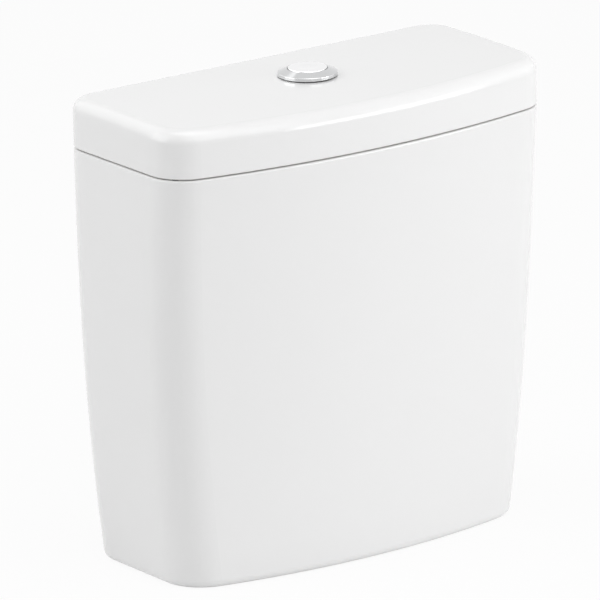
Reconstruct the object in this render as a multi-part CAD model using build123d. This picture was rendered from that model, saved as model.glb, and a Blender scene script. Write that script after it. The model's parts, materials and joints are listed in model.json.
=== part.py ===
from build123d import *
import os
from math import atan2, cos, pi, sin, sqrt

os.makedirs("parts", exist_ok=True)

# A close-coupled toilet cistern: a glazed ceramic tank and lid, a push button in the lid, and inside it a
# flush valve lifted by two crossing rockers, a bottom-entry fill valve and the coupling bolts.
# Millimetres, +Z up. X runs along the width, the flat back faces +Y and the bowed front faces -Y.
# The origin is in the middle of the width and depth, on the plane of the foot rim that the tank stands on.

# Ceramic tank
tank_width = 370.0
tank_depth = 174.0
tank_height = 344.2
side_taper = 18.3
front_taper = 19.5
front_bow = 23.0
front_corner_radius = 33.3
base_corner_radius = 39.2
back_corner_radius = 26.0
side_sweep_power = 2.4
front_lean_power = 0.75
level_shares = (0.0, 0.2, 0.4, 0.6, 0.8, 0.93, 1.0)
back_trim = 0.02
tank_wall = 9.0
skirt_wall = 11.0
recess_height = 45.0
slab_thickness = 11.0
foot_fillet = 7.0
rim_rounding = 1.5
wall_hole_radius = 4.5
wall_hole_from_side = 65.0
wall_hole_below_rim = 60.0
floor_fillet = 12.0
recess_fillet = 5.0

# Ceramic lid
joint_gap = 0.9
lid_height = 40.1
crown_radius = 2200.0
crown_line_from_back = 65.0
lid_edge_fillet = 10.5
lid_wall = 10.0
lid_roof = 9.0
lid_roof_fillet = 6.0
lip_clearance = 1.5
lip_width = 6.0
lip_depth = 7.0
lip_root = 8.0
lid_pad_radius = 3.0
lid_pad_inset = 5.2

# Push button and its housing in the lid
valve_from_back = 79.0
lid_hole_radius = 20.0
gasket_radius = 22.6
gasket_thickness = 1.0
bezel_radius = 24.0
bezel_edge_height = 2.5
bezel_rise = 3.3
bezel_lip_thickness = 1.6
bezel_edge_fillet = 0.5
button_radius = 15.8
button_gap = 0.35
button_stand = 0.3
button_dish_radius = 60.0
button_face_thickness = 2.6
button_skirt_wall = 1.5
button_skirt_overlap = 2.0
button_edge_fillet = 0.6
button_travel = 7.0
sleeve_radius = 19.0
sleeve_wall = 1.8
sleeve_below_lid = 22.0
sleeve_web = 2.4
fit_clearance = 0.1
seat_clearance = 0.3
running_clearance = 0.06
sleeve_nut_radius = 28.0
sleeve_nut_height = 8.0
sleeve_nut_lobes = 12
sleeve_nut_lobe_radius = 3.0
sleeve_washer_thickness = 2.0
sleeve_washer_radius = 26.0
carrier_thickness = 3.0
carrier_boss_height = 6.0
carrier_boss_wall = 1.6
spring_coil_radius = 5.6
spring_wire_radius = 0.55
spring_turns = 6
spring_spigot_radius = 4.2
spring_spigot_height = 3.0
rod_radius = 2.0
rod_spacing = 23.0

# Flush valve
outlet_hole_clearance = 2.0
shank_radius = 29.5
shank_free_length = 8.5
shank_neck_radius = 29.2
shank_bore_radius = 26.0
shank_end_height = 5.0
floor_washer_thickness = 3.0
floor_washer_width = 11.0
base_flange_radius = 42.0
base_flange_thickness = 4.0
seat_lip_height = 3.0
seat_lip_width = 2.5
cage_radius = 38.0
cage_leg_height = 26.0
cage_leg_thickness = 4.0
cage_leg_width = 9.0
cage_leg_count = 4
cage_ring_height = 6.0
base_nut_radius = 37.0
base_nut_height = 8.0
base_nut_lugs = 8
base_nut_lug_width = 6.0
base_nut_lug_reach = 2.5
foam_radius = 46.5
foam_height = 31.0
chamber_radius = 33.0
chamber_wall = 2.5
chamber_height = 92.0
chamber_window_width = 16.0
chamber_window_height = 34.0
chamber_window_sill = 38.0
bayonet_lug_reach = 3.5
bayonet_lug_height = 4.0
bayonet_lug_width = 12.0
tower_rail_offset = 24.0
tower_rail_width = 14.0
tower_rail_thickness = 4.0
tower_rail_rib = 3.0
platform_radius = 33.0
platform_thickness = 4.0
tube_radius = 15.0
tube_wall = 2.0
tube_bottom_below_flange = 5.0
tube_top_clearance = 2.5
tube_flange_radius = 24.0
tube_flange_thickness = 3.0
seal_radius = 31.0
seal_thickness = 3.3
seal_rim_thickness = 1.0
retainer_radius = 21.0
retainer_height = 3.2
valve_lift = 12.5

# Lift yoke and the two crossing rockers
yoke_ring_wall = 4.5
yoke_ring_height = 8.0
yoke_ring_clearance = 11.5
upright_offset = 26.0
upright_thickness = 4.0
upright_width = 6.0
hook_reach = 6.0
hook_thickness = 4.0
slot_clearance = 0.5
axle_radius = 2.5
axle_below_rim = 18.2
axle_above_platform = 21.0
axle_end = 1.0
cheek_thickness = 3.0
cheek_width = 15.0
rocker_width = 6.2
rocker_half_gap = 0.5
rocker_hub_radius = 5.2
rocker_pad_height = 4.0
rocker_pad_thickness = 4.5
rocker_pad_start = 5.0
rocker_pad_length = 11.5
rocker_nose_radius = 3.0
rocker_nose_reach = 20.0
rocker_arm_thickness = 4.0
rod_gap = 0.4
hook_gap = 0.4

# Fill valve
fill_valve_from_side = 65.0
tail_radius = 10.48
tail_free_length = 28.5
tail_neck_radius = 10.2
tail_bore_radius = 7.0
tail_end_height = 8.0
inlet_hole_clearance = 1.5
tail_washer_radius = 18.0
tail_flange_radius = 17.0
tail_flange_thickness = 3.0
tail_nut_flats = 30.0
tail_nut_height = 8.0
tail_nut_flange = 2.0
lower_riser_radius = 13.4
lower_riser_below_float = 45.0
upper_riser_radius = 11.1
upper_riser_wall = 2.6
upper_riser_overlap_share = 21 / 44
lock_ring_radius = 17.0
lock_ring_height = 15.0
lock_ring_below_top = 10.0
lock_ring_ribs = 16
lock_ring_rib_radius = 0.9
stop_collar_radius = 14.2
stop_collar_height = 3.0
float_radius = 29.0
float_wall = 1.6
float_height = 55.0
float_below_head = 67.0
float_tube_radius = 14.0
float_guide_height = 5.0
float_clearance = 0.08
float_travel = 10.0
valve_head_below_rim = 82.2
valve_head_radius = 21.5
valve_head_height = 28.0
valve_head_groove = 1.2
valve_head_groove_share = 1 / 3
head_cap_height = 8.0
head_cap_ribs = 18
head_cap_rib_radius = 1.0
diaphragm_radius = 17.0
diaphragm_thickness = 2.0
lever_pivot_above_cap = 7.0
lever_pivot_offset = 6.0
lever_ear_thickness = 2.5
lever_ear_width = 7.0
lever_ear_gap = 0.3
lever_thickness = 5.0
lever_height = 6.0
lever_heel = 9.0
pilot_seat_radius = 2.5
pilot_seat_height = 1.0
lever_pin_radius = 1.5
lever_slot_end = 0.6
lever_slot_clearance = 0.45
link_offset = 25.5
link_radius = 2.0
link_boss_radius = 4.0
link_boss_height = 6.0
link_nut_radius = 4.0
link_nut_height = 4.0
fork_width = 6.0
fork_cheek = 2.2
fork_below_pin = 5.4
fork_above_pin = 3.4
fork_bridge = 3.0

# Coupling bolts, M8
bolt_place_share = 0.5135
bolt_radius = 4.0
bolt_free_length = 28.4
bolt_neck_radius = 3.8
bolt_hole_clearance = 1.0
bolt_end_height = 5.0
hex_flats = 13.0
bolt_head_height = 5.4
bolt_nut_height = 6.5
metal_washer_radius = 10.0
metal_washer_thickness = 1.6
bolt_seal_radius = 11.0
bolt_seal_thickness = 3.0

overrun = 1.0

# Levels and axes worked out from the sizes above
floor_z = recess_height + slab_thickness
lid_base = tank_height + joint_gap
back_y = tank_depth / 2
valve_y = back_y - valve_from_back
crown_line_y = back_y - crown_line_from_back
crown_top = lid_base + lid_height
rod_x = rod_spacing / 2
fill_valve_x = tank_width / 2 - fill_valve_from_side
bolt_space = fill_valve_x - tail_washer_radius - foam_radius
bolt_x = foam_radius + bolt_space * bolt_place_share
lane_offset = rocker_half_gap + rocker_width / 2
flange_bottom = floor_z + floor_washer_thickness
flange_top = flange_bottom + base_flange_thickness
seat_top = flange_top + seat_lip_height
cage_top = flange_top + cage_leg_height + cage_ring_height
chamber_top = cage_top + chamber_height
axle_z = tank_height - axle_below_rim
platform_top = axle_z - axle_above_platform
platform_bottom = platform_top - platform_thickness
hook_bottom = axle_z + rocker_nose_radius + hook_gap
rod_tip_z = axle_z + rocker_pad_height + rod_gap
head_bottom = tank_height - valve_head_below_rim
float_bottom = head_bottom - float_below_head
riser_top_z = float_bottom - lower_riser_below_float
tail_flange_bottom = floor_z + floor_washer_thickness
tail_flange_top = tail_flange_bottom + tail_flange_thickness
upper_riser_bottom = riser_top_z - (riser_top_z - tail_flange_top) * upper_riser_overlap_share


def crown_height(y, drop):
    """Height of the lid's crown at y, or of the arc that lies drop below it."""
    radius = crown_radius - drop
    return crown_top - crown_radius + sqrt(radius ** 2 - (y - crown_line_y) ** 2)


lid_top = crown_height(valve_y, 0)
roof_underside = crown_height(valve_y, lid_roof)
sleeve_bottom = roof_underside - sleeve_below_lid
sleeve_inner_radius = sleeve_radius - sleeve_wall
bezel_base = lid_top + gasket_thickness
bezel_top = bezel_base + bezel_edge_height + bezel_rise
button_top = bezel_top + button_stand
button_underside = button_top - button_face_thickness


def prism(section, bottom, top):
    """A flat section raised from one level to another."""
    return extrude(Pos(0, 0, bottom) * section, amount=top - bottom, dir=(0, 0, 1))


def ring(outer_radius, inner_radius, bottom, top, x=0.0, y=0.0):
    """A round disc or, where the inner radius isn't zero, a ring."""
    section = Circle(outer_radius)
    if inner_radius:
        section -= Circle(inner_radius)
    return prism(Pos(x, y) * section, bottom, top)


def hexagon(flats, hole_radius, bottom, top, x=0.0, y=0.0):
    """A hexagonal block with a round hole."""
    section = RegularPolygon(flats / 2, 6, major_radius=False)
    if hole_radius:
        section -= Circle(hole_radius)
    return prism(Pos(x, y) * section, bottom, top)


def block(low, high):
    """A box between its lowest and its highest corner."""
    size = [b - a for a, b in zip(low, high)]
    return Pos(*low) * Box(*size, align=(Align.MIN, Align.MIN, Align.MIN))


def pin_along_y(radius, x, z, y_low, y_high):
    """A round pin that runs along Y."""
    return extrude(Plane((x, y_low, z), z_dir=(0, 1, 0)) * Circle(radius), amount=y_high - y_low)


def profile_along_y(section, y_low, y_high):
    """A section drawn in X and Z, given a thickness along Y."""
    return extrude(Plane((0, y_high, 0), x_dir=(1, 0, 0), z_dir=(0, -1, 0)) * section, amount=y_high - y_low)


def around(piece, count, x=0.0, y=0.0, start=0.0):
    """Copies of a piece, spread evenly round an upright axis."""
    axis = Pos(x, y)
    return [axis * Rot(0, 0, start + turn * 360 / count) * axis.inverse() * piece for turn in range(count)]


def fuse(pieces):
    """One piece from several."""
    whole = pieces[0]
    for piece in pieces[1:]:
        whole = whole + piece
    return whole


def mirrored(point):
    return (-point[0], point[1])


def plan_face(half_width, chord_depth, front_radius, inset):
    """Plan of the body at one level, drawn in by inset: flat back, round corners and a bowed front."""
    bow_radius = (half_width ** 2 + front_bow ** 2) / (2 * front_bow)
    bow_y = back_y - chord_depth - front_bow + bow_radius
    corner_x = half_width - front_radius
    corner_y = bow_y - sqrt((bow_radius - front_radius) ** 2 - corner_x ** 2)
    back_x = half_width - back_corner_radius
    back_centre_y = back_y - back_corner_radius
    side_x = half_width - inset
    back_radius = back_corner_radius - inset
    corner_radius = front_radius - inset
    bow_radius = bow_radius - inset
    slant = atan2(bow_y - corner_y, corner_x)

    back_end = (back_x, back_y - inset)
    back_middle = (back_x + back_radius * cos(pi / 4), back_centre_y + back_radius * sin(pi / 4))
    side_back = (side_x, back_centre_y)
    side_front = (side_x, corner_y)
    corner_middle = (corner_x + corner_radius * cos(slant / 2), corner_y - corner_radius * sin(slant / 2))
    bow_end = (bow_radius * cos(slant), bow_y - bow_radius * sin(slant))
    bow_middle = (0, bow_y - bow_radius)
    edges = [
        Line(back_end, mirrored(back_end)),
        ThreePointArc(mirrored(back_end), mirrored(back_middle), mirrored(side_back)),
        Line(mirrored(side_back), mirrored(side_front)),
        ThreePointArc(mirrored(side_front), mirrored(corner_middle), mirrored(bow_end)),
        ThreePointArc(mirrored(bow_end), bow_middle, bow_end),
        ThreePointArc(bow_end, corner_middle, side_front),
        Line(side_front, side_back),
        ThreePointArc(side_back, back_middle, back_end),
    ]
    return make_face(edges)


def tank_plan(level, inset):
    """Plan of the tank at a height: the sides sweep in towards the foot and the front leans back."""
    down = (tank_height - level) / tank_height
    half_width = tank_width / 2 - side_taper * down ** side_sweep_power
    chord_depth = tank_depth - front_bow - front_taper * down ** front_lean_power
    front_radius = front_corner_radius + (base_corner_radius - front_corner_radius) * down
    return plan_face(half_width, chord_depth, front_radius, inset)


def tank_form(bottom, top, inset):
    """The tank's swept form between two heights, drawn in by inset."""
    levels = [bottom + (top - bottom) * share for share in level_shares]
    return loft([Pos(0, 0, level) * tank_plan(level, inset) for level in levels])


def lid_form(inset, drop, edge_radius, bottom):
    """The lid's crowned form, drawn in by inset and lowered by drop, with its top edge rounded."""
    wall = prism(tank_plan(tank_height, inset), bottom, crown_top + overrun)
    form = wall & crown_cylinder(drop)
    top_face = form.faces().sort_by(Axis.Z)[-1]
    return fillet(top_face.edges(), radius=edge_radius)


def behind_back():
    """All that lies behind the tank's back plane, a hair inside the swept form so that the back is truly flat."""
    low = (-tank_width, back_y - back_trim, -overrun)
    return block(low, (tank_width, back_y + overrun, tank_height + overrun))


def make_tank():
    body = tank_form(0, tank_height, 0)
    body = fillet(body.faces().sort_by(Axis.Z)[0].edges(), radius=foot_fillet)
    body = fillet(body.faces().sort_by(Axis.Z)[-1].edges(), radius=rim_rounding)
    water_space = tank_form(floor_z, tank_height, tank_wall)
    water_space = fillet(water_space.faces().sort_by(Axis.Z)[0].edges(), radius=floor_fillet)
    recess = tank_form(0, recess_height, skirt_wall)
    recess = fillet(recess.faces().sort_by(Axis.Z)[-1].edges(), radius=recess_fillet)
    body = body - water_space - recess - behind_back()
    holes = [ring(shank_radius + outlet_hole_clearance, 0, 0, tank_height, 0, valve_y)]
    holes.append(ring(tail_radius + inlet_hole_clearance, 0, 0, tank_height, fill_valve_x, valve_y))
    for x in (-bolt_x, bolt_x):
        holes.append(ring(bolt_radius + bolt_hole_clearance, 0, 0, tank_height, x, valve_y))
    wall_hole_x = tank_width / 2 - wall_hole_from_side
    for x in (-wall_hole_x, wall_hole_x):
        holes.append(pin_along_y(wall_hole_radius, x, tank_height - wall_hole_below_rim, valve_y, back_y + overrun))
    for hole in holes:
        body = body - hole
    return body


def make_lid():
    body = lid_form(0, 0, lid_edge_fillet, lid_base)
    body = fillet(body.faces().sort_by(Axis.Z)[0].edges(), radius=rim_rounding)
    body = body - lid_form(lid_wall, lid_roof, lid_roof_fillet, lid_base)
    lip_outside = tank_wall + lip_clearance
    lip_inside = lip_outside + lip_width
    inner = tank_plan(tank_height, lip_inside)
    lip = prism(tank_plan(tank_height, lip_outside) - inner, lid_base - lip_depth, lid_base + lip_root)
    lip = lip + prism(tank_plan(tank_height, lid_wall - overrun) - inner, lid_base, lid_base + lip_root)
    body = body + lip
    return body - ring(lid_hole_radius, 0, lid_base, crown_top + overrun, 0, valve_y)


def make_lid_pads():
    """Soft pads on the rim, one at the middle of each corner."""
    rim_line = tank_plan(tank_height, lid_pad_inset)
    corners = rim_line.edges().filter_by(GeomType.CIRCLE).sort_by(SortBy.LENGTH)[:-1]
    places = [corner @ 0.5 for corner in corners]
    return Compound([ring(lid_pad_radius, 0, tank_height, lid_base, place.X, place.Y) for place in places])


def crown_cylinder(drop):
    """The arc of the lid's crown, drop below its surface, as a long round bar across the width."""
    centre_z = crown_top - crown_radius
    middle = Plane((-tank_width, crown_line_y, centre_z), z_dir=(1, 0, 0))
    return extrude(middle * Circle(crown_radius - drop), amount=2 * tank_width)


def make_gasket():
    disc = ring(gasket_radius, lid_hole_radius, lid_top - gasket_thickness, bezel_base, 0, valve_y)
    return disc - crown_cylinder(0)


def make_bezel():
    inner = button_radius + button_gap
    outline = Polyline(
        (sleeve_radius + fit_clearance, bezel_base),
        (bezel_radius, bezel_base),
        (bezel_radius, bezel_base + bezel_edge_height),
        (inner, bezel_top),
        (inner, bezel_top - bezel_lip_thickness),
        (sleeve_radius + fit_clearance, bezel_top - bezel_lip_thickness),
        close=True,
    )
    section = make_face(outline)
    top_corner = section.vertices().sort_by(Axis.Y)[-1]
    edge_corner = section.vertices().sort_by(Axis.X)[-2:].sort_by(Axis.Y)[-1]
    section = fillet([top_corner, edge_corner], radius=bezel_edge_fillet)
    return Pos(0, valve_y) * revolve(Plane.XZ * section, Axis.Z)


def make_sleeve():
    top = bezel_top - bezel_lip_thickness - fit_clearance
    body = ring(sleeve_radius, sleeve_inner_radius, sleeve_bottom, top, 0, valve_y)
    body = body + ring(sleeve_inner_radius + sleeve_wall / 2, 0, sleeve_bottom, sleeve_bottom + sleeve_web, 0, valve_y)
    web_top = sleeve_bottom + sleeve_web
    body = body + ring(spring_spigot_radius, 0, sleeve_bottom, web_top + spring_spigot_height, 0, valve_y)
    for side in (-1, 1):
        x, y = side * rod_x, valve_y + side * lane_offset
        body = body - ring(rod_radius + running_clearance, 0, sleeve_bottom, web_top + overrun, x, y)
    return body


def make_sleeve_nut():
    top = roof_underside_low() - sleeve_washer_thickness
    bottom = top - sleeve_nut_height
    hole = sleeve_radius + fit_clearance
    body = ring(sleeve_nut_radius - sleeve_nut_lobe_radius, hole, bottom, top, 0, valve_y)
    lobe_x = sleeve_nut_radius - sleeve_nut_lobe_radius
    lobe = ring(sleeve_nut_lobe_radius, 0, bottom, top, lobe_x, valve_y)
    return fuse([body] + around(lobe, sleeve_nut_lobes, 0, valve_y))


def roof_underside_low():
    """Lowest level of the lid's underside under the clamp washer."""
    return crown_height(valve_y - sleeve_washer_radius, lid_roof)


def make_sleeve_washer():
    top = roof_underside_low()
    return ring(sleeve_washer_radius, sleeve_radius + fit_clearance, top - sleeve_washer_thickness, top, 0, valve_y)


def make_button_cap():
    skirt_bottom = button_underside - button_travel - button_skirt_overlap
    body = ring(button_radius, 0, skirt_bottom, button_top, 0, valve_y)
    body = fillet(body.edges().sort_by(Axis.Z)[-1:], radius=button_edge_fillet)
    hollow = button_radius - button_skirt_wall
    body = body - ring(hollow, 0, skirt_bottom, button_underside, 0, valve_y)
    dish = Pos(0, valve_y, button_top + button_dish_radius - button_edge_fillet) * Sphere(button_dish_radius)
    return body - dish


def make_rod_carrier():
    top = button_underside
    bottom = top - carrier_thickness
    hollow = button_radius - button_skirt_wall - fit_clearance
    body = ring(hollow, 0, bottom, top, 0, valve_y)
    body = body + ring(spring_spigot_radius, 0, bottom - spring_spigot_height, bottom, 0, valve_y)
    for side in (-1, 1):
        x, y = side * rod_x, valve_y + side * lane_offset
        boss_radius = rod_radius + carrier_boss_wall
        boss = ring(boss_radius, 0, bottom - carrier_boss_height, bottom, x, y)
        body = body + boss & ring(hollow, 0, bottom - carrier_boss_height, top, 0, valve_y)
        body = body - ring(rod_radius, 0, bottom - carrier_boss_height, bottom, x, y)
    return body


def make_push_rods():
    rods = []
    for side in (-1, 1):
        x, y = side * rod_x, valve_y + side * lane_offset
        rod = ring(rod_radius, 0, rod_tip_z + rod_radius, button_underside - carrier_thickness, x, y)
        rods.append(rod + Pos(x, y, rod_tip_z + rod_radius) * Sphere(rod_radius))
    return Compound(rods)


def make_spring():
    bottom = sleeve_bottom + sleeve_web + spring_wire_radius + seat_clearance
    top = button_underside - carrier_thickness - spring_wire_radius - seat_clearance
    pitch = (top - bottom) / spring_turns
    path = Helix(pitch=pitch, height=top - bottom, radius=spring_coil_radius, center=(0, valve_y, bottom))
    section = Plane(origin=path @ 0, z_dir=path % 0) * RegularPolygon(spring_wire_radius, 6)
    return sweep(section, path=path, is_frenet=True)


def make_valve_base():
    free_top = shank_end_height + shank_free_length
    body = ring(shank_radius, shank_bore_radius, shank_end_height, free_top, 0, valve_y)
    body = body + ring(shank_neck_radius, shank_bore_radius, free_top, flange_top, 0, valve_y)
    body = body + ring(base_flange_radius, shank_bore_radius, flange_bottom, flange_top, 0, valve_y)
    lip = ring(shank_neck_radius, shank_neck_radius - seat_lip_width, flange_bottom, seat_top, 0, valve_y)
    body = body + lip
    ring_bottom = cage_top - cage_ring_height
    body = body + ring(cage_radius, chamber_radius - chamber_wall, ring_bottom, cage_top, 0, valve_y)
    leg = block(
        (cage_radius - cage_leg_thickness, valve_y - cage_leg_width / 2, flange_bottom),
        (cage_radius - fit_clearance, valve_y + cage_leg_width / 2, ring_bottom + fit_clearance),
    )
    return fuse([body] + around(leg, cage_leg_count, 0, valve_y, 360 / cage_leg_count / 2))


def make_floor_washer():
    inner = shank_radius + fit_clearance
    return ring(inner + floor_washer_width, inner, floor_z, flange_bottom, 0, valve_y)


def make_base_nut():
    bottom = recess_height - base_nut_height
    body = ring(base_nut_radius - base_nut_lug_reach, shank_radius + fit_clearance, bottom, recess_height, 0, valve_y)
    lug = block(
        (base_nut_radius - 2 * base_nut_lug_reach, valve_y - base_nut_lug_width / 2, bottom),
        (base_nut_radius, valve_y + base_nut_lug_width / 2, recess_height),
    )
    return fuse([body] + around(lug, base_nut_lugs, 0, valve_y))


def make_coupling_washer():
    bottom = recess_height - foam_height
    nut_bottom = recess_height - base_nut_height
    body = ring(foam_radius, shank_radius + seat_clearance, bottom, recess_height, 0, valve_y)
    body = fillet(body.faces().sort_by(Axis.Z)[0].edges().sort_by(Edge.length)[-1:], radius=recess_fillet)
    return body - ring(base_nut_radius + seat_clearance, 0, nut_bottom, recess_height, 0, valve_y)


def make_tower():
    inner = chamber_radius - chamber_wall
    guide = tube_radius + float_clearance
    body = ring(chamber_radius, inner, cage_top, chamber_top, 0, valve_y)
    body = body + ring(chamber_radius, guide, chamber_top - chamber_wall, chamber_top, 0, valve_y)
    window_bottom = cage_top + chamber_window_sill
    window = block(
        (0, valve_y - chamber_window_width / 2, window_bottom),
        (chamber_radius + overrun, valve_y + chamber_window_width / 2, window_bottom + chamber_window_height),
    )
    for cut in around(window, 2, 0, valve_y):
        body = body - cut
    lug = block(
        (inner + chamber_wall / 2, valve_y - bayonet_lug_width / 2, cage_top),
        (chamber_radius + bayonet_lug_reach, valve_y + bayonet_lug_width / 2, cage_top + bayonet_lug_height),
    )
    body = fuse([body] + around(lug, cage_leg_count, 0, valve_y))
    platform = ring(platform_radius, 0, platform_bottom, platform_top, 0, valve_y)
    for side in (-1, 1):
        lane_y = valve_y - side * lane_offset
        half = upright_width / 2 + slot_clearance
        inside = side * (upright_offset - upright_thickness / 2 - hook_reach - slot_clearance)
        outside = side * (upright_offset + upright_thickness / 2 + slot_clearance)
        slot = block(
            (min(inside, outside), lane_y - half, platform_bottom),
            (max(inside, outside), lane_y + half, platform_top),
        )
        platform = platform - slot
    body = body + platform
    half_rail = tower_rail_width / 2
    for side in (-1, 1):
        near = valve_y + side * (tower_rail_offset - tower_rail_thickness / 2)
        far = valve_y + side * (tower_rail_offset + tower_rail_thickness / 2)
        rib_far = far + side * tower_rail_rib
        rail_low, rail_high = min(near, far), max(near, far)
        body = body + block((-half_rail, rail_low, chamber_top - fit_clearance), (half_rail, rail_high, platform_top))
        rib_low, rib_high = min(far, rib_far), max(far, rib_far)
        body = body + block(
            (-tower_rail_rib / 2, rib_low - fit_clearance, chamber_top - fit_clearance),
            (tower_rail_rib / 2, rib_high, platform_bottom + fit_clearance),
        )
        cheek_inner = valve_y + side * (rocker_half_gap + rocker_width + running_clearance)
        cheek_outer = cheek_inner + side * cheek_thickness
        cheek = Pos(0, axle_z) * Circle(cheek_width / 2)
        lower = axle_z - platform_bottom
        cheek = cheek + Pos(0, axle_z - lower / 2) * Rectangle(cheek_width, lower)
        cheek = cheek - Pos(0, axle_z) * Circle(axle_radius)
        body = body + profile_along_y(cheek, min(cheek_inner, cheek_outer), max(cheek_inner, cheek_outer))
    return body


def make_rocker_axle():
    half = rocker_half_gap + rocker_width + running_clearance + cheek_thickness + axle_end
    return pin_along_y(axle_radius, 0, axle_z, valve_y - half, valve_y + half)


def make_rocker(side):
    """A rocker whose pad lies at side * rod_x and whose nose lies across the axle, on the other side."""
    hub = Pos(0, axle_z) * Circle(rocker_hub_radius)
    pad_end = rocker_pad_start + rocker_pad_length
    pad_middle = (rocker_pad_start + pad_end) / 2
    pad = Pos(side * pad_middle, axle_z + rocker_pad_height - rocker_pad_thickness / 2) * Rectangle(
        rocker_pad_length, rocker_pad_thickness)
    root = Pos(side * rocker_pad_start / 2, axle_z + rocker_pad_height - rocker_pad_thickness) * Rectangle(
        rocker_pad_start, rocker_pad_thickness)
    arm = Pos(-side * rocker_nose_reach / 2, axle_z) * Rectangle(rocker_nose_reach, rocker_arm_thickness)
    nose = Pos(-side * rocker_nose_reach, axle_z) * Circle(rocker_nose_radius)
    section = hub + pad + root + arm + nose - Pos(0, axle_z) * Circle(axle_radius + running_clearance)
    lane = valve_y + side * lane_offset
    return profile_along_y(section, lane - rocker_width / 2, lane + rocker_width / 2)


def make_overflow_tube():
    bottom = seat_top - retainer_height - tube_bottom_below_flange
    top = platform_bottom - valve_lift - tube_top_clearance
    body = ring(tube_radius, tube_radius - tube_wall, bottom, top, 0, valve_y)
    flange_z = seat_top + seal_thickness
    return body + ring(
        tube_flange_radius, tube_radius - tube_wall / 2, flange_z, flange_z + tube_flange_thickness, 0, valve_y)


def make_seal():
    body = ring(seal_radius, tube_radius + fit_clearance, seat_top, seat_top + seal_thickness, 0, valve_y)
    thin = ring(
        seal_radius + overrun, tube_flange_radius + seal_rim_thickness,
        seat_top + seal_thickness - seal_rim_thickness, seat_top + seal_thickness, 0, valve_y)
    return body - thin


def make_retainer():
    bottom = seat_top - retainer_height
    return ring(retainer_radius, tube_radius + fit_clearance, bottom, seat_top, 0, valve_y)


def make_yoke():
    top = platform_bottom - valve_lift - yoke_ring_clearance
    bottom = top - yoke_ring_height
    inner = tube_radius + fit_clearance
    outer = inner + yoke_ring_wall
    body = ring(outer, inner, bottom, top, 0, valve_y)
    for side in (-1, 1):
        lane = valve_y - side * lane_offset
        low_y, high_y = lane - upright_width / 2, lane + upright_width / 2
        outside = side * (upright_offset + upright_thickness / 2)
        inside = side * (upright_offset - upright_thickness / 2)
        root = side * (inner + yoke_ring_wall / 2)
        hook_tip = inside - side * hook_reach
        arm = block((min(root, outside), low_y, bottom), (max(root, outside), high_y, top))
        hook_top = hook_bottom + hook_thickness
        upright = block((min(inside, outside), low_y, bottom), (max(inside, outside), high_y, hook_top))
        hook = block((min(hook_tip, outside), low_y, hook_bottom), (max(hook_tip, outside), high_y, hook_top))
        body = body + arm + upright + hook
    return body


def make_fill_valve_body():
    free_top = tail_end_height + tail_free_length
    body = ring(tail_radius, tail_bore_radius, tail_end_height, free_top, fill_valve_x, valve_y)
    body = body + ring(tail_neck_radius, tail_bore_radius, free_top, tail_flange_top, fill_valve_x, valve_y)
    body = body + ring(
        tail_flange_radius, tail_bore_radius, tail_flange_bottom, tail_flange_top, fill_valve_x, valve_y)
    bore = upper_riser_radius + fit_clearance
    riser = ring(lower_riser_radius, bore, tail_flange_top - fit_clearance, riser_top_z, fill_valve_x, valve_y)
    return body + riser


def make_fill_valve_washer():
    return ring(
        tail_washer_radius, tail_radius + fit_clearance, floor_z, floor_z + floor_washer_thickness,
        fill_valve_x, valve_y)


def make_fill_valve_nut():
    bottom = recess_height - tail_nut_height
    hole = tail_radius + fit_clearance
    body = hexagon(tail_nut_flats, hole, bottom, recess_height, fill_valve_x, valve_y)
    flange_radius = tail_nut_flats / 2 + tail_nut_flange
    return body + ring(
        flange_radius, hole, recess_height - tail_nut_flange, recess_height, fill_valve_x, valve_y)


def make_upper_riser():
    bore = upper_riser_radius - upper_riser_wall
    body = ring(upper_riser_radius, bore, upper_riser_bottom, head_bottom, fill_valve_x, valve_y)
    collar_bottom = float_bottom - stop_collar_height
    return body + ring(stop_collar_radius, bore, collar_bottom, float_bottom, fill_valve_x, valve_y)


def make_lock_ring():
    bottom = riser_top_z - lock_ring_below_top
    top = bottom + lock_ring_height
    body = ring(lock_ring_radius, lower_riser_radius + fit_clearance, bottom, riser_top_z, fill_valve_x, valve_y)
    body = body + ring(lock_ring_radius, upper_riser_radius + fit_clearance, riser_top_z, top, fill_valve_x, valve_y)
    rib = ring(lock_ring_rib_radius, 0, bottom, top, fill_valve_x + lock_ring_radius, valve_y)
    return fuse([body] + around(rib, lock_ring_ribs, fill_valve_x, valve_y))


def make_float():
    top = float_bottom + float_height
    guide = upper_riser_radius + float_clearance
    body = ring(float_radius, float_radius - float_wall, float_bottom, top, fill_valve_x, valve_y)
    body = body + ring(float_radius, guide, top - float_wall, top, fill_valve_x, valve_y)
    tube_bore = float_tube_radius - float_wall
    body = body + ring(float_tube_radius, tube_bore, float_bottom, top, fill_valve_x, valve_y)
    for low in (float_bottom, top - float_guide_height):
        body = body + ring(float_tube_radius, guide, low, low + float_guide_height, fill_valve_x, valve_y)
    link_x = fill_valve_x - link_offset
    boss = ring(link_boss_radius, 0, top - float_wall, top + link_boss_height, link_x, valve_y)
    return body + (boss & ring(float_radius, 0, top - float_wall, top + link_boss_height, fill_valve_x, valve_y))


def make_valve_head():
    top = head_bottom + valve_head_height
    body = ring(valve_head_radius, 0, head_bottom, top, fill_valve_x, valve_y)
    groove_height = valve_head_height * valve_head_groove_share
    groove_low = head_bottom + groove_height
    groove = ring(
        valve_head_radius + overrun, valve_head_radius - valve_head_groove,
        groove_low, groove_low + groove_height, fill_valve_x, valve_y)
    pocket = ring(diaphragm_radius, 0, top - diaphragm_thickness, top, fill_valve_x, valve_y)
    return body - groove - pocket


def make_diaphragm():
    top = head_bottom + valve_head_height
    return ring(diaphragm_radius - fit_clearance, 0, top - diaphragm_thickness, top, fill_valve_x, valve_y)


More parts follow.
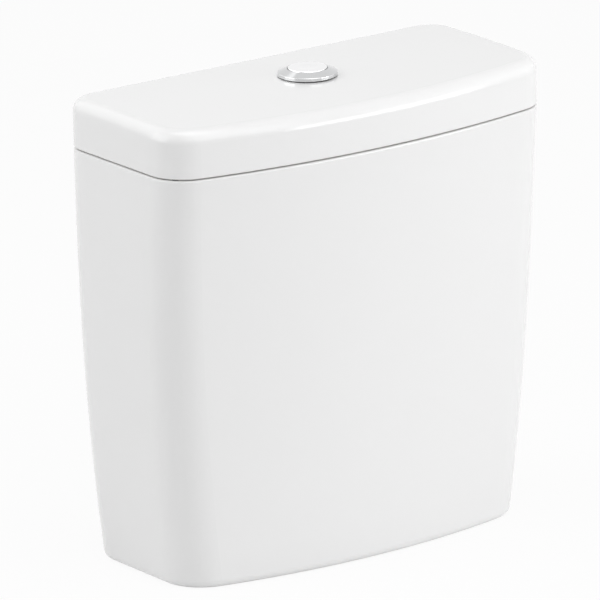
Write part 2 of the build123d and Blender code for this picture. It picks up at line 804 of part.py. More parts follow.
cap_bottom = head_bottom + valve_head_height
cap_top = cap_bottom + head_cap_height
lever_z = cap_top + lever_pivot_above_cap
lever_x = fill_valve_x + lever_pivot_offset
link_x = fill_valve_x - link_offset
lever_reach = lever_x - link_x


def make_head_cap():
    body = ring(valve_head_radius, 0, cap_bottom, cap_top, fill_valve_x, valve_y)
    rib = ring(head_cap_rib_radius, 0, cap_bottom, cap_top, fill_valve_x + valve_head_radius, valve_y)
    body = fuse([body] + around(rib, head_cap_ribs, fill_valve_x, valve_y, 180 / head_cap_ribs))
    seat_x = lever_x + lever_heel - pilot_seat_radius
    body = body + ring(pilot_seat_radius, 0, cap_bottom, cap_top + pilot_seat_height, seat_x, valve_y)
    low = cap_top - fit_clearance
    for side in (-1, 1):
        near = side * (lever_thickness / 2 + lever_ear_gap)
        far = near + side * lever_ear_thickness
        ear = Pos(lever_x, lever_z) * Circle(lever_ear_width / 2)
        ear = ear + Pos(lever_x, (lever_z + low) / 2) * Rectangle(lever_ear_width, lever_z - low)
        ear = ear - Pos(lever_x, lever_z) * Circle(lever_pin_radius)
        body = body + profile_along_y(ear, valve_y + min(near, far), valve_y + max(near, far))
    return body


def make_lever_pin():
    half = lever_thickness / 2 + lever_ear_gap + lever_ear_thickness
    return pin_along_y(lever_pin_radius, lever_x, lever_z, valve_y - half, valve_y + half)


def make_float_lever():
    turn = float_travel / lever_reach
    far_reach = lever_reach * cos(turn) + float_travel * sin(turn)
    slot_half = lever_pin_radius + lever_slot_clearance
    slot_near = lever_reach - lever_slot_end
    slot_far = far_reach + lever_slot_end
    end = slot_far + slot_half + overrun
    arm = Pos(lever_x - end / 2, lever_z) * Rectangle(end, lever_height)
    heel = Pos(lever_x + lever_heel / 2, lever_z) * Rectangle(lever_heel, lever_height)
    slot = Pos(lever_x - (slot_near + slot_far) / 2, lever_z) * Rectangle(slot_far - slot_near, 2 * slot_half)
    for reach in (slot_near, slot_far):
        slot = slot + Pos(lever_x - reach, lever_z) * Circle(slot_half)
    pin_hole = Pos(lever_x, lever_z) * Circle(lever_pin_radius + running_clearance)
    section = arm + heel - slot - pin_hole
    return profile_along_y(section, valve_y - lever_thickness / 2, valve_y + lever_thickness / 2)


def make_float_link():
    boss_top = float_bottom + float_height + link_boss_height
    fork_bottom = lever_z - fork_below_pin - fork_bridge
    body = ring(link_radius, 0, boss_top, fork_bottom + fit_clearance, link_x, valve_y)
    body = body + ring(link_nut_radius, 0, boss_top, boss_top + link_nut_height, link_x, valve_y)
    half_gap = lever_thickness / 2 + lever_ear_gap
    half = half_gap + fork_cheek
    low = (link_x - fork_width / 2, valve_y - half, fork_bottom)
    high = (link_x + fork_width / 2, valve_y + half, lever_z + fork_above_pin)
    fork = block(low, high)
    slot = block(
        (low[0], valve_y - half_gap, lever_z - fork_below_pin),
        (high[0], valve_y + half_gap, high[2]),
    )
    fork = fork - slot
    return body + fork + pin_along_y(lever_pin_radius, link_x, lever_z, valve_y - half, valve_y + half)


def at_bolts(make):
    """The same piece at both coupling bolts."""
    return Compound([make(-bolt_x), make(bolt_x)])


def make_coupling_bolts():
    head_bottom_z = floor_z + bolt_seal_thickness + metal_washer_thickness

    def bolt(x):
        free_top = bolt_end_height + bolt_free_length
        shaft = ring(bolt_radius, 0, bolt_end_height, free_top, x, valve_y)
        shaft = shaft + ring(bolt_neck_radius, 0, free_top, head_bottom_z + fit_clearance, x, valve_y)
        return shaft + hexagon(hex_flats, 0, head_bottom_z, head_bottom_z + bolt_head_height, x, valve_y)

    return at_bolts(bolt)


def make_bolt_rings(radius, bottom, thickness):
    hole = bolt_radius + fit_clearance
    return at_bolts(lambda x: ring(radius, hole, bottom, bottom + thickness, x, valve_y))


def make_bolt_nuts():
    top = recess_height - bolt_seal_thickness - metal_washer_thickness
    hole = bolt_radius + fit_clearance
    return at_bolts(lambda x: hexagon(hex_flats, hole, top - bolt_nut_height, top, x, valve_y))


under_seal_bottom = recess_height - bolt_seal_thickness

nodes = {
    "tank": make_tank(),
    "lid": make_lid(),
    "lid_pads": make_lid_pads(),
    "bezel_gasket": make_gasket(),
    "button_bezel": make_bezel(),
    "button_sleeve": make_sleeve(),
    "sleeve_washer": make_sleeve_washer(),
    "sleeve_nut": make_sleeve_nut(),
    "button_cap": make_button_cap(),
    "rod_carrier": make_rod_carrier(),
    "push_rods": make_push_rods(),
    "button_spring": make_spring(),
    "valve_base": make_valve_base(),
    "valve_floor_washer": make_floor_washer(),
    "valve_nut": make_base_nut(),
    "coupling_washer": make_coupling_washer(),
    "valve_tower": make_tower(),
    "rocker_axle": make_rocker_axle(),
    "rocker_left": make_rocker(-1),
    "rocker_right": make_rocker(1),
    "overflow_tube": make_overflow_tube(),
    "valve_seal": make_seal(),
    "seal_retainer": make_retainer(),
    "lift_yoke": make_yoke(),
    "fill_valve_body": make_fill_valve_body(),
    "fill_valve_washer": make_fill_valve_washer(),
    "fill_valve_nut": make_fill_valve_nut(),
    "upper_riser": make_upper_riser(),
    "riser_lock_ring": make_lock_ring(),
    "float_cup": make_float(),
    "float_link": make_float_link(),
    "float_lever": make_float_lever(),
    "lever_pin": make_lever_pin(),
    "fill_valve_head": make_valve_head(),
    "fill_valve_cap": make_head_cap(),
    "fill_valve_diaphragm": make_diaphragm(),
    "coupling_bolts": make_coupling_bolts(),
    "bolt_seals": make_bolt_rings(bolt_seal_radius, floor_z, bolt_seal_thickness),
    "bolt_washers": make_bolt_rings(metal_washer_radius, floor_z + bolt_seal_thickness, metal_washer_thickness),
    "under_seals": make_bolt_rings(bolt_seal_radius, under_seal_bottom, bolt_seal_thickness),
    "under_washers": make_bolt_rings(
        metal_washer_radius, under_seal_bottom - metal_washer_thickness, metal_washer_thickness),
    "bolt_nuts": make_bolt_nuts(),
}

for name, shape in nodes.items():
    export_step(shape, f"parts/{name}.step")
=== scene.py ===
# %% [markdown]
# # A toilet cistern, dressed in Blender
# A close-coupled cistern is a thin glazed ceramic tank with a ceramic lid on it and a push button in the
# lid. The flush valve, the fill valve and the bolts are inside. The CAD model already holds every piece
# at its real size, so this lesson keeps that model as a fixed frame and adds what CAD leaves out: the
# finishes, the screw threads, the turned nuts, the wound spring, the soft light and the camera. All
# lengths are in metres.

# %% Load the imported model
import json
from math import cos, pi, radians, sin, tan

import bpy
from mathutils import Matrix, Vector


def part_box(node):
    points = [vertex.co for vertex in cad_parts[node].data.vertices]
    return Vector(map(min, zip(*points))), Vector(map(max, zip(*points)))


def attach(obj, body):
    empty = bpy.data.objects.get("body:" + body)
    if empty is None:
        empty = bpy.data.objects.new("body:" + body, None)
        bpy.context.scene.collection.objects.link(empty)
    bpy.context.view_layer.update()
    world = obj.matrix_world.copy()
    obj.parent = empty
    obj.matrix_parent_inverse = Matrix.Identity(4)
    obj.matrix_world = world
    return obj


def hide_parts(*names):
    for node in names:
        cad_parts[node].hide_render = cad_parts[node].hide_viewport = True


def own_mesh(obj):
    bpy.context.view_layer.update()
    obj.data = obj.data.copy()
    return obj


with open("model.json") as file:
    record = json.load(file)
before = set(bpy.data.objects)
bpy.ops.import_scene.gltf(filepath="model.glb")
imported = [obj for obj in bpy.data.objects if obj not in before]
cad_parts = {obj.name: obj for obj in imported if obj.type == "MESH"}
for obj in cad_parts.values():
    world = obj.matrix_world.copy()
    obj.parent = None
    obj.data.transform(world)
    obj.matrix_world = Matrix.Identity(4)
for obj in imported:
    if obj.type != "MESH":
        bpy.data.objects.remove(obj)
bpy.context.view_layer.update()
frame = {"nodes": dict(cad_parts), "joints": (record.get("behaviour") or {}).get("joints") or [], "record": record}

nodes = frame["nodes"]
slots = {entry["node"]: entry["material_slot"] for entry in frame["record"]["subparts"]}
bpy.ops.object.select_all(action="DESELECT")

# %% [markdown]
# ## The camera
# Catalogue pictures of bathroom ware are taken from far away with a long lens, so that upright edges stay
# nearly parallel. The camera here stands 7.6 m away, to the left of the front and a little above. A
# camera could be turned by hand until it looks right, but here its direction is worked out from two
# angles and a small roll, because the same three numbers then give its place as well.

# %% Place the camera
VIEW_AZIMUTH = radians(-35.29819)
VIEW_ELEVATION = radians(16.42243)
VIEW_ROLL = radians(-1.32947)
VIEW_DISTANCE = 7.609544
LENS_MM = 568.933
SENSOR_MM = 36.0
FAR_END = 100
AIM_POINT = Vector((0, 0.013, 0.15976))
AIM_RIGHT = -0.008115
AIM_UP = 0.036373


def direction_to(azimuth, elevation):
    return Vector((
        sin(azimuth) * cos(elevation),
        -cos(azimuth) * cos(elevation),
        sin(elevation),
    ))


toward_camera = direction_to(VIEW_AZIMUTH, VIEW_ELEVATION)
level_right = (-toward_camera).cross(Vector((0, 0, 1))).normalized()
level_up = level_right.cross(-toward_camera)
view_right = level_right * cos(VIEW_ROLL) + level_up * sin(VIEW_ROLL)
view_up = level_up * cos(VIEW_ROLL) - level_right * sin(VIEW_ROLL)
aim = AIM_POINT + view_right * AIM_RIGHT + view_up * AIM_UP

camera_data = bpy.data.cameras.new("view_camera")
camera_data.lens = LENS_MM
camera_data.sensor_width = SENSOR_MM
camera_data.clip_end = FAR_END
camera = bpy.data.objects.new("view_camera", camera_data)
turn = Matrix((view_right, view_up, toward_camera)).transposed().to_4x4()
camera.matrix_world = Matrix.Translation(aim + toward_camera * VIEW_DISTANCE) @ turn
bpy.context.scene.collection.objects.link(camera)
bpy.context.scene.camera = camera
print("camera at", [round(v, 3) for v in camera.location])

# %% [markdown]
# ## One way to start every finish
# Each finish begins as a Principled shader with a colour and a roughness on its own sockets. A fine noise
# on Object coordinates, fed through a Bump node, then gives the faint unevenness that a real surface has.
# On every finish but the foam it is kept so weak that it shows only in reflections.

# %% Helpers for finishes
FINE_DETAIL = 2.0


def new_finish(name, colour, roughness, metallic=0.0):
    material = bpy.data.materials.new(name)
    material.use_nodes = True
    shader = material.node_tree.nodes["Principled BSDF"]
    shader.inputs["Base Color"].default_value = (*colour, 1)
    shader.inputs["Roughness"].default_value = roughness
    shader.inputs["Metallic"].default_value = metallic
    return material


def add_unevenness(material, per_metre, height, detail=FINE_DETAIL):
    tree = material.node_tree
    place = tree.nodes.new("ShaderNodeTexCoord")
    noise = tree.nodes.new("ShaderNodeTexNoise")
    noise.inputs["Scale"].default_value = per_metre
    noise.inputs["Detail"].default_value = detail
    bump = tree.nodes.new("ShaderNodeBump")
    bump.inputs["Strength"].default_value = 1.0
    bump.inputs["Distance"].default_value = height
    tree.links.new(place.outputs["Object"], noise.inputs["Vector"])
    tree.links.new(noise.outputs["Fac"], bump.inputs["Height"])
    tree.links.new(bump.outputs["Normal"], tree.nodes["Principled BSDF"].inputs["Normal"])


# %% [markdown]
# ## Glazed ceramic
# The tank and lid are vitreous china under a white glaze. The glaze is smooth and glassy, so the shader's
# roughness is low. The clay shows where a piece stood in the kiln, because glaze would stick there: along
# the tank's foot rim, and on the lid's rim and lip. It is duller and a little warmer. On the lid's rim and
# lip, which sit in the joint between lid and tank, its darker colour is also painted shade that darkens the
# joint line. The border could be a modelled edge, but a ramp on the height of each point parts the two
# more softly, as a wiped glaze does.

# %% Make the glaze
GLAZE_COLOUR = (0.88, 0.88, 0.88)
# Bare clay colour. On the lid's rim and lip it is also painted shade that darkens the joint line.
BARE_CLAY_AND_SHADE_COLOUR = (0.73, 0.722, 0.705)
GLAZE_ROUGHNESS = 0.12
BARE_CLAY_ROUGHNESS = 0.75
GLAZE_WAVES_PER_METRE = 45
GLAZE_WAVE_HEIGHT = 0.00002
BARE_AND_SHADE_LINE_BLUR = 0.00048
TANK_BARE_BELOW = 0.0012
# The lid's darker rim reaches just above its pads: bare clay, and also painted shade in the joint line.
LID_BARE_AND_SHADE_HEIGHT = 0.0005
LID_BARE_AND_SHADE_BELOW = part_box("lid_pads")[1][2] + LID_BARE_AND_SHADE_HEIGHT


def ramp_on_height(tree, height, bare_and_shade_below, bare_value, glazed_value):
    ramp = tree.nodes.new("ShaderNodeMapRange")
    ramp.inputs["From Min"].default_value = bare_and_shade_below
    ramp.inputs["From Max"].default_value = bare_and_shade_below + BARE_AND_SHADE_LINE_BLUR
    ramp.inputs["To Min"].default_value = bare_value
    ramp.inputs["To Max"].default_value = glazed_value
    tree.links.new(height, ramp.inputs["Value"])
    return ramp.outputs["Result"]


def make_glaze(name, bare_and_shade_below):
    material = new_finish(name, GLAZE_COLOUR, GLAZE_ROUGHNESS)
    add_unevenness(material, GLAZE_WAVES_PER_METRE, GLAZE_WAVE_HEIGHT)
    tree = material.node_tree
    shader = tree.nodes["Principled BSDF"]
    place = tree.nodes.new("ShaderNodeTexCoord")
    split = tree.nodes.new("ShaderNodeSeparateXYZ")
    tree.links.new(place.outputs["Object"], split.inputs["Vector"])
    height = split.outputs["Z"]
    colour = tree.nodes.new("ShaderNodeMix")
    colour.data_type = "RGBA"
    # Below the border the darker colour: bare clay, and on the lid also painted shade in the joint line.
    colour.inputs["A"].default_value = (*BARE_CLAY_AND_SHADE_COLOUR, 1)
    colour.inputs["B"].default_value = (*GLAZE_COLOUR, 1)
    tree.links.new(ramp_on_height(tree, height, bare_and_shade_below, 0, 1), colour.inputs["Factor"])
    tree.links.new(colour.outputs["Result"], shader.inputs["Base Color"])
    gloss = ramp_on_height(tree, height, bare_and_shade_below, BARE_CLAY_ROUGHNESS, GLAZE_ROUGHNESS)
    tree.links.new(gloss, shader.inputs["Roughness"])
    return material


finishes = {
    "glaze_tank": make_glaze("tank_glaze", TANK_BARE_BELOW),
    # The lid's glaze carries the darker rim that is also painted shade in the joint line.
    "glaze_lid": make_glaze("lid_glaze_and_rim_shade", LID_BARE_AND_SHADE_BELOW),
}
print("made", [material.name for material in finishes.values()])

# %% [markdown]
# ## Metals, plastics and rubber
# The button is chrome-plated plastic, which mirrors the pale room. Its ring is satin chrome. The polished
# disc in it is the same chrome, but it has a lighter colour than chrome has: a painted brighter reflection.
# The inside holds satin injection-moulded plastic in white, grey and blue, black rubber seals, a soft
# red-brown silicone seal, open foam rubber under the floor, and zinc-plated steel bolts. Each is one
# shader with its own roughness and its own grain, so a table can hold them all, with one row for each.

# %% Make the other finishes
METAL = 1.0
OTHER = 0.0
FOAM_DETAIL = 6.0
# name: colour, roughness, metal or other, bumps per metre, height of the bumps, detail of the bumps
FINISH_TABLE = {
    "chrome_trim": ((0.62, 0.625, 0.63), 0.13, METAL, 70, 0.000004, FINE_DETAIL),
    # The disc's colour is lighter than chrome is: a painted brighter reflection.
    "chrome_disc_painted_bright": ((0.87, 0.87, 0.875), 0.09, METAL, 70, 0.000004, FINE_DETAIL),
    "white_plastic": ((0.80, 0.80, 0.78), 0.38, OTHER, 900, 0.00001, FINE_DETAIL),
    "grey_plastic": ((0.36, 0.38, 0.41), 0.42, OTHER, 900, 0.00001, FINE_DETAIL),
    "blue_plastic": ((0.03, 0.12, 0.42), 0.4, OTHER, 900, 0.00001, FINE_DETAIL),
    "black_rubber": ((0.025, 0.025, 0.026), 0.62, OTHER, 1500, 0.00002, FINE_DETAIL),
    "seal_silicone": ((0.50, 0.085, 0.045), 0.45, OTHER, 700, 0.00001, FINE_DETAIL),
    "foam_rubber": ((0.045, 0.045, 0.047), 0.95, OTHER, 650, 0.0006, FOAM_DETAIL),
    "zinc_steel": ((0.62, 0.63, 0.64), 0.32, METAL, 500, 0.00001, FINE_DETAIL),
    "stainless_wire": ((0.62, 0.61, 0.6), 0.22, METAL, 400, 0.000005, FINE_DETAIL),
}
for finish_name, (colour, roughness, metallic, per_metre, height, detail) in FINISH_TABLE.items():
    finishes[finish_name] = new_finish(finish_name, colour, roughness, metallic)
    add_unevenness(finishes[finish_name], per_metre, height, detail)
print("finishes:", len(finishes))

# %% Give every CAD piece its finish
for node, slot in slots.items():
    nodes[node].data.materials.clear()
    nodes[node].data.materials.append(finishes[slot])
# The button's disc takes the chrome whose lighter colour is a painted brighter reflection.
nodes["button_cap"].data.materials[0] = finishes["chrome_disc_painted_bright"]
print("dressed", len(slots), "pieces")

# %% [markdown]
# ## Screw threads
# Threads are cut on the shank under the flush valve, the tail of the fill valve, the two coupling bolts
# and the sleeve of the button. The CAD model keeps each as a plain rod, because a modelled thread makes a
# CAD file heavy and changes nothing in the fit. A bump in the finish would be quick, but it can't notch
# the outline of a rod. So a real groove is cut here. The CAD piece stays as it is, and the work is done
# on a merged copy, which then takes its place.

# %% Helpers for working on a copy
MERGE_DISTANCE = 0.0000005


def work_on(piece):
    bpy.ops.object.select_all(action="DESELECT")
    bpy.context.view_layer.objects.active = piece
    piece.select_set(True)


def edit_all():
    bpy.ops.object.mode_set(mode="EDIT")
    bpy.ops.mesh.select_all(action="SELECT")


def end_edit():
    bpy.ops.object.mode_set(mode="OBJECT")


def point_faces_outwards():
    bpy.ops.mesh.select_all(action="SELECT")
    bpy.ops.mesh.normals_make_consistent(inside=False)


def merge_points(piece):
    work_on(piece)
    edit_all()
    bpy.ops.mesh.remove_doubles(threshold=MERGE_DISTANCE)
    end_edit()


def merged_copy(node, name):
    piece = bpy.data.objects.new(name, nodes[node].data.copy())
    bpy.context.scene.collection.objects.link(piece)
    merge_points(piece)
    return piece


def finish_modifier(piece, kind, **settings):
    work_on(piece)
    modifier = piece.modifiers.new(kind.lower(), kind)
    for key, value in settings.items():
        setattr(modifier, key, value)
    bpy.ops.object.modifier_apply(modifier=modifier.name)


def smooth(piece, degrees):
    work_on(piece)
    bpy.ops.object.shade_smooth_by_angle(angle=radians(degrees))


def joined(pieces):
    work_on(pieces[0])
    for piece in pieces[1:]:
        piece.select_set(True)
    bpy.ops.object.join()
    return pieces[0]


def put_in_place_of(piece, node, body):
    piece.data.materials.clear()
    slot = slots[node]
    piece.data.materials.append(finishes[slot])
    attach(piece, body)
    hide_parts(node)
    print(piece.name, "has", len(piece.data.polygons), "faces")


# %% [markdown]
# The cutter is a three-sided profile with its point towards the rod, like the tip of a lathe tool. A
# Screw modifier winds it up the rod, one pitch for each turn, and a Boolean takes the wound ridge away
# from the rod. The profile stands a little out of the rod, so that no thin skin is left between two
# surfaces at one place. A Boolean can leave points in pairs at one place, so they are merged afterwards.

# %% Cut a thread
VALVE_LINE_Y = 0.008
PROUD_SHARE = 0.1
GROOVE_SHARE = 0.875
PROFILE_SIDES = 3
TRIANGLE_HEIGHT = 1.5
TRIANGLE_BASE = 3 ** 0.5
MIDDLE = (0, 0, 0)


def wind(profile, pitch, turns, steps):
    finish_modifier(
        profile, "SCREW", angle=2 * pi, screw_offset=pitch, iterations=turns,
        steps=steps, render_steps=steps,
    )


def cut_thread(piece, rod, start, x):
    height = rod["depth"] * (1 + PROUD_SHARE)
    base = rod["pitch"] * GROOVE_SHARE * (1 + PROUD_SHARE)
    reach = height / TRIANGLE_HEIGHT
    bpy.ops.object.select_all(action="DESELECT")
    bpy.ops.mesh.primitive_circle_add(vertices=PROFILE_SIDES, radius=1, rotation=(pi / 2, -pi / 2, 0))
    cutter = bpy.context.object
    bpy.ops.object.transform_apply(location=True, rotation=True, scale=True)
    edit_all()
    bpy.ops.transform.resize(value=(reach, 1, base / TRIANGLE_BASE), center_override=MIDDLE)
    bpy.ops.transform.translate(value=(rod["radius"] - rod["depth"] + reach, 0, 0))
    end_edit()
    wind(cutter, rod["pitch"], int((rod["top"] - start) / rod["pitch"]), rod["steps"])
    edit_all()
    bpy.ops.mesh.fill_holes(sides=PROFILE_SIDES)
    point_faces_outwards()
    bpy.ops.transform.translate(value=(x, VALVE_LINE_Y, start))
    end_edit()
    finish_modifier(piece, "BOOLEAN", operation="DIFFERENCE", object=cutter, solver="EXACT")
    bpy.data.objects.remove(cutter)


# %% [markdown]
# Each rod has the thread that its real counterpart has: a coarse plastic thread of 3 mm pitch on the
# outlet shank, a half-inch pipe thread on the fill valve's tail, an M8 thread on the bolts, and a fine
# plastic thread of 2 mm pitch on the button's sleeve. A thread starts half a turn below the free end, so
# that it runs out of the end face as a cut one does. The first three run up to the underside of the
# tank's floor.

# %% Thread the shank, the tail, the bolts and the sleeve
FLOOR_UNDERSIDE = 0.045
SHANK = {"radius": 0.0295, "depth": 0.0012, "pitch": 0.003, "top": FLOOR_UNDERSIDE, "steps": 72}
TAIL = {"radius": 0.01048, "depth": 0.00116, "pitch": 0.001814, "top": FLOOR_UNDERSIDE, "steps": 48}
BOLT = {"radius": 0.004, "depth": 0.00072, "pitch": 0.00125, "top": FLOOR_UNDERSIDE, "steps": 32}
SLEEVE = {"radius": 0.019, "depth": 0.0008, "pitch": 0.002, "top": 0.376, "steps": 64}
SHARP_EDGE_DEGREES = 20
HEXAGON_HALF_ANGLE = pi / 6


def threaded(node, rod, columns):
    piece = merged_copy(node, node + "_threaded")
    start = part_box(node)[0][2] - rod["pitch"] / 2
    for x in columns:
        cut_thread(piece, rod, start, x)
    merge_points(piece)
    smooth(piece, SHARP_EDGE_DEGREES)
    return piece


def corner_radius(flats):
    return flats / 2 / cos(HEXAGON_HALF_ANGLE)


bolt_low, bolt_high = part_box("coupling_bolts")
bolt_flats = bolt_high[1] - bolt_low[1]
bolt_column = bolt_high[0] - corner_radius(bolt_flats)
bolt_columns = [-bolt_column, bolt_column]
tail_low, tail_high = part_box("fill_valve_nut")
tail_column = (tail_low[0] + tail_high[0]) / 2
print("bolts at x", round(bolt_column, 5), "tail at x", round(tail_column, 5))
put_in_place_of(threaded("valve_base", SHANK, [0]), "valve_base", "cistern")
put_in_place_of(threaded("fill_valve_body", TAIL, [tail_column]), "fill_valve_body", "cistern")
bolts_piece = threaded("coupling_bolts", BOLT, bolt_columns)
put_in_place_of(threaded("button_sleeve", SLEEVE, [0]), "button_sleeve", "lid")

# %% [markdown]
# ## Hexagons with turned corners
# A steel nut or bolt head is a hexagon whose corners are turned off in a lathe at 30 degrees, so that it
# doesn't cut the hand. A Bevel modifier would break the flats' edges evenly and look moulded. Here a
# round blank with sloped ends is made, and an INTERSECT Boolean keeps what the hexagon and the blank have
# in common, which gives the curved edge that a turned corner has. The bolts' blank starts a little below
# their ends, because a Boolean can fail where two faces lie in one plane.

# %% Make a round blank with sloped ends
SLOPE = radians(30)
CORNER_SPARE = 1.03
FLAT_SHARE = 0.97
BLANK_SPARE = 0.001
BLANK_SIDES = 64


def raise_ring(height, widen=1.0):
    bpy.ops.mesh.extrude_region_move(TRANSFORM_OT_translate={"value": (0, 0, height)})
    if widen != 1.0:
        bpy.ops.transform.resize(value=(widen, widen, 1), center_override=MIDDLE)


def turned_blank(x, low, high, flats, slope_below, slope_above):
    full = corner_radius(flats) * CORNER_SPARE
    narrow = flats / 2 * FLAT_SHARE
    slope_height = (full - narrow) * tan(SLOPE)
    foot = narrow if slope_below else full
    bpy.ops.object.select_all(action="DESELECT")
    bpy.ops.mesh.primitive_circle_add(vertices=BLANK_SIDES, radius=foot, fill_type="NGON")
    blank = bpy.context.object
    edit_all()
    if slope_below:
        raise_ring(slope_height, full / narrow)
    raise_ring(high - low - slope_height * (slope_below + slope_above))
    if slope_above:
        raise_ring(slope_height, narrow / full)
    point_faces_outwards()
    bpy.ops.transform.translate(value=(x, VALVE_LINE_Y, low))
    end_edit()
    return blank


# %% Turn the corners of the bolt heads and the nuts
def turn_corners(piece, columns, low, high, flats, slope_below, slope_above):
    blank = joined([turned_blank(x, low, high, flats, slope_below, slope_above) for x in columns])
    finish_modifier(piece, "BOOLEAN", operation="INTERSECT", object=blank, solver="EXACT")
    bpy.data.objects.remove(blank)
    smooth(piece, SHARP_EDGE_DEGREES)


turn_corners(
    bolts_piece, bolt_columns, bolt_low[2] - BLANK_SPARE, bolt_high[2], bolt_flats, False, True,
)
put_in_place_of(bolts_piece, "coupling_bolts", "cistern")

nuts_piece = merged_copy("bolt_nuts", "bolt_nuts_turned")
nuts_low, nuts_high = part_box("bolt_nuts")
turn_corners(nuts_piece, bolt_columns, nuts_low[2], nuts_high[2], bolt_flats, True, True)
put_in_place_of(nuts_piece, "bolt_nuts", "cistern")

# %% [markdown]
# ## The button's spring
# Under the button a coil spring of stainless wire stands round a peg and lifts the button after each
# press. The CAD model winds it from a six-sided wire and moves it stiffly with the button. On the real
# one the foot stays and only the top follows the button. So a round wire is wound here, with a closed
# turn at each end for it to stand on. It rides on the lid, and its length when pressed is worked out
# from the button's travel.

# %% Wind the spring
COIL_RADIUS = 0.0056
WIRE_RADIUS = 0.00055
WIRE_SIDES = 12
WIRE_SMOOTH_DEGREES = 40
CLOSED_PITCH = 0.00118
CLOSED_TURNS = 1
OPEN_TURNS = 4
WINDING_STEPS = 40
WIRE_MERGE_DISTANCE = 0.00002


def wind_wire(start, pitch, turns):
    bpy.ops.object.select_all(action="DESELECT")
    bpy.ops.mesh.primitive_circle_add(
        vertices=WIRE_SIDES, radius=WIRE_RADIUS, location=(COIL_RADIUS, 0, 0), rotation=(pi / 2, 0, 0),
    )
    wire = bpy.context.object
    bpy.ops.object.transform_apply(location=True, rotation=True, scale=True)
    wind(wire, pitch, turns, WINDING_STEPS)
    edit_all()
    bpy.ops.transform.translate(value=(0, VALVE_LINE_Y, start))
    end_edit()
    return wire


spring_low, spring_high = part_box("button_spring")
foot = spring_low[2] + WIRE_RADIUS
head = spring_high[2] - WIRE_RADIUS
open_pitch = (head - foot - 2 * CLOSED_PITCH) / OPEN_TURNS
spring = joined([
    wind_wire(foot, CLOSED_PITCH, CLOSED_TURNS),
    wind_wire(foot + CLOSED_PITCH, open_pitch, OPEN_TURNS),
    wind_wire(head - CLOSED_PITCH, CLOSED_PITCH, CLOSED_TURNS),
])
spring.name = "button_spring_wound"
edit_all()
bpy.ops.mesh.remove_doubles(threshold=WIRE_MERGE_DISTANCE)
bpy.ops.mesh.fill_holes(sides=WIRE_SIDES)
point_faces_outwards()
end_edit()
smooth(spring, WIRE_SMOOTH_DEGREES)

# %% Put the spring on the lid and work out its pressed length
button_joint = next(joint for joint in frame["joints"] if joint["name"] == "button_press")
button_travel = button_joint["range_m"][1]
put_in_place_of(spring, "button_spring", "lid")
spring_length = spring_high[2] - spring_low[2]
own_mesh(spring)
pressed_length = spring_length - button_travel
print("the spring goes from", round(spring_length, 4), "m to", round(pressed_length, 4), "m")

# %% [markdown]
# ## Floor and room
# Ware like this is photographed in a white tent, so the floor and the room are plain and pale. Strong
# light would turn them white, but it would burn out the object too. So each has two looks, and a Light
# Path node chooses: full white where the camera, a mirror or a glass sees it, and a gentler even light
# for the object itself. The floor keeps a small share of its lit look, and in it a faint shadow.

# %% Helpers for a white that lights gently
WHITE = (1, 1, 1, 1)
FULL_WHITE = 1.0


def share_seen(tree):
    rays = tree.nodes.new("ShaderNodeLightPath")
    seen = rays.outputs["Is Camera Ray"]
    for kind in ("Is Glossy Ray", "Is Transmission Ray"):
        either = tree.nodes.new("ShaderNodeMath")
        either.operation = "MAXIMUM"
        tree.links.new(seen, either.inputs[0])
        tree.links.new(rays.outputs[kind], either.inputs[1])
        seen = either.outputs[0]
    return seen


def show_mixed(tree, share, lit, seen, output):
    mix = tree.nodes.new("ShaderNodeMixShader")
    tree.links.new(share, mix.inputs["Fac"])
    tree.links.new(lit, mix.inputs[1])
    tree.links.new(seen, mix.inputs[2])
    tree.links.new(mix.outputs["Shader"], tree.nodes[output].inputs["Surface"])


# %% [markdown]
# The floor is a large plane. It lies 0.2 mm under the foot, so that two surfaces don't share one place.

# %% Lay the floor
FLOOR_SIZE = 14.0
FLOOR_GAP = 0.0002
FLOOR_COLOUR = (0.8, 0.8, 0.8, 1)
FLOOR_ROUGHNESS = 0.9
FLOOR_WHITE_SHARE = 0.93
bpy.ops.mesh.primitive_plane_add(size=FLOOR_SIZE, location=(0, 0, -FLOOR_GAP))
floor = bpy.context.object
floor.name = "studio_floor"
floor_finish = bpy.data.materials.new("studio_floor")
floor_finish.use_nodes = True
floor_tree = floor_finish.node_tree
floor_shader = floor_tree.nodes["Principled BSDF"]
floor_shader.inputs["Base Color"].default_value = FLOOR_COLOUR
floor_shader.inputs["Roughness"].default_value = FLOOR_ROUGHNESS
floor_shader.inputs["Specular IOR Level"].default_value = 0.0
floor_glow = floor_tree.nodes.new("ShaderNodeEmission")
floor_glow.inputs["Strength"].default_value = FULL_WHITE
whiten = floor_tree.nodes.new("ShaderNodeMath")
whiten.operation = "MULTIPLY"
whiten.inputs[1].default_value = FLOOR_WHITE_SHARE
floor_tree.links.new(share_seen(floor_tree), whiten.inputs[0])
show_mixed(
    floor_tree, whiten.outputs[0], floor_shader.outputs["BSDF"], floor_glow.outputs["Emission"],
    "Material Output",
)
floor.data.materials.append(floor_finish)
print("floor", FLOOR_SIZE, "m wide")

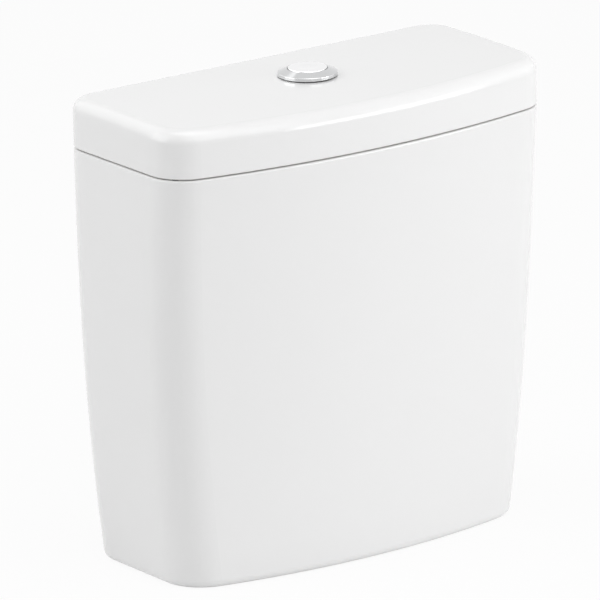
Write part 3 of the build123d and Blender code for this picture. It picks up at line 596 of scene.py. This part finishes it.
# %% Light the room
ROOM_LIGHT = 0.2
world = bpy.data.worlds.new("studio_room")
bpy.context.scene.world = world
world.use_nodes = True
room_tree = world.node_tree
room_light = room_tree.nodes["Background"]
room_light.inputs["Color"].default_value = WHITE
room_light.inputs["Strength"].default_value = ROOM_LIGHT
room_glow = room_tree.nodes.new("ShaderNodeBackground")
room_glow.inputs["Color"].default_value = WHITE
room_glow.inputs["Strength"].default_value = FULL_WHITE
show_mixed(
    room_tree, share_seen(room_tree), room_light.outputs["Background"], room_glow.outputs["Background"],
    "World Output",
)
print("room light", ROOM_LIGHT)

# %% [markdown]
# ## The lamps
# The form is shaped by six large soft lamps that all face the middle of the tank. One strong lamp on each
# side of it would do, but then the near corner is either lost or too dark. Here the front lamps stand to
# the right of the camera, so that the bowed front grows lighter towards the right. The left lamps light
# the side evenly, and the near corner between the two stays darkest. The lamp overhead lights the lid.
# Because light adds up, the power of each was worked out from renders with one lamp at a time.

# %% Hang the lamps
LAMP_TARGET = Vector((0, 0, 0.2))
# name: azimuth and elevation in degrees, distance, size, power in watts
LAMP_TABLE = {
    "front_low_lamp": (35, 0, 3.0, 1.6, 41),
    "front_high_lamp": (0, 40, 3.5, 3.0, 35),
    "right_lamp": (60, 15, 3.5, 3.0, 18),
    "left_lamp": (-110, 25, 3.5, 3.0, 53),
    "back_left_lamp": (-160, 35, 3.5, 3.0, 15),
    "top_lamp": (0, 85, 3.0, 2.0, 32),
}


def hang_lamp(name, azimuth, elevation, distance, size, power):
    data = bpy.data.lights.new(name, "AREA")
    data.shape = "SQUARE"
    data.size = size
    data.energy = power
    lamp = bpy.data.objects.new(name, data)
    direction = direction_to(radians(azimuth), radians(elevation))
    place = Matrix.Translation(LAMP_TARGET + direction * distance)
    lamp.matrix_world = place @ direction.to_track_quat("Z", "Y").to_matrix().to_4x4()
    bpy.context.scene.collection.objects.link(lamp)


for lamp_name, settings in LAMP_TABLE.items():
    hang_lamp(lamp_name, *settings)
print("lamps:", list(LAMP_TABLE))

# %% [markdown]
# ## Finish
# The colours are kept as written by the Standard view transform.

# %% Finish
bpy.context.scene.view_settings.view_transform = "Standard"
bpy.context.view_layer.update()
